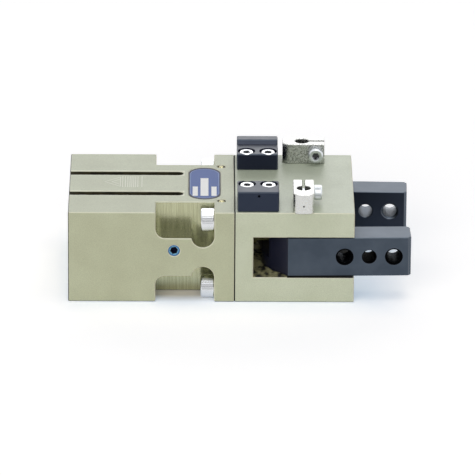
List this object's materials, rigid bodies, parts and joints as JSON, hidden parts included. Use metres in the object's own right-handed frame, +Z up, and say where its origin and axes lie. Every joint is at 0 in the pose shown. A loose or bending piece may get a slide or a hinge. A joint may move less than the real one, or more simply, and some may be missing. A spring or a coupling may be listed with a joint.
{
  "type": "angular gripper",
  "caption": "Pneumatic angular gripper with swinging jaws in a forked housing, a cylinder behind and clamps for sensors.",
  "frame": {"origin": "centre of the rear mounting face", "axes": "+X along the gripper towards the jaws, +Y across it away from the side seen in the picture, +Z up"},
  "size_m": [0.1253, 0.0615, 0.0428],
  "materials": {
    "hard_anodised_aluminium": "satin, olive-champagne hard anodising",
    "cover_aluminium": "turned",
    "black_oxide_steel": "ground, black oxide",
    "black_anodised_aluminium": "satin, black anodising",
    "nickel_plated_steel": "bright nickel plate",
    "zinc_plated_steel": "bright zinc plate",
    "chromed_rod_steel": "hard chrome, ground",
    "hardened_pin_steel": "ground",
    "shim_steel": "rolled",
    "sintered_bronze": "machined",
    "nitrile_rubber": "matt",
    "guide_ring_plastic": "turned",
    "bonded_ferrite": "moulded",
    "blue_printed_aluminium": "printed blue",
    "sealed_set_screw_steel": "blue thread sealant"
  },
  "bodies": {
    "housing": {"rear_housing": "hard_anodised_aluminium", "front_housing": "hard_anodised_aluminium", "cylinder_cover": "cover_aluminium", "cover_o_ring": "nitrile_rubber", "rod_bush": "sintered_bronze", "rod_seal": "nitrile_rubber", "pivot_pins": "hardened_pin_steel", "pivot_screws": "zinc_plated_steel", "jaw_shims": "shim_steel", "housing_dowels": "hardened_pin_steel", "housing_screws": "zinc_plated_steel", "block_near": "black_anodised_aluminium", "block_far": "black_anodised_aluminium", "block_screws": "zinc_plated_steel", "sensor_clamp_near": "nickel_plated_steel", "sensor_clamp_far": "nickel_plated_steel", "clamp_screws": "nickel_plated_steel", "label_plate": "blue_printed_aluminium", "port_plug": "sealed_set_screw_steel"},
    "near_jaw": {"jaw_near": "black_oxide_steel"},
    "far_jaw": {"jaw_far": "black_oxide_steel"},
    "piston_unit": {"piston": "cover_aluminium", "piston_seal": "nitrile_rubber", "piston_guide_ring": "guide_ring_plastic", "piston_magnet": "bonded_ferrite", "piston_screw": "zinc_plated_steel", "piston_rod": "chromed_rod_steel", "drive_pin": "hardened_pin_steel"}
  },
  "joints": [
    {"name": "near_jaw_swing", "type": "hinge", "parent": "housing", "child": "near_jaw", "pos_m": [0.079, -0.0205, 0], "axis": [0, 0, -1], "range_deg": [0, 16.5]},
    {"name": "far_jaw_swing", "type": "hinge", "parent": "housing", "child": "far_jaw", "pos_m": [0.079, 0.0205, 0], "axis": [0, 0, 1], "range_deg": [0, 16.5]},
    {"name": "piston_slide", "type": "slide", "parent": "housing", "child": "piston_unit", "axis": [1, 0, 0], "range_m": [0, 0.00595]}
  ],
  "couplings": [
    {"joint": "far_jaw_swing", "follows": "near_jaw_swing", "ratio": 1},
    {"joint": "piston_slide", "follows": "near_jaw_swing", "m_per_rad": 0.020643}
  ]
}
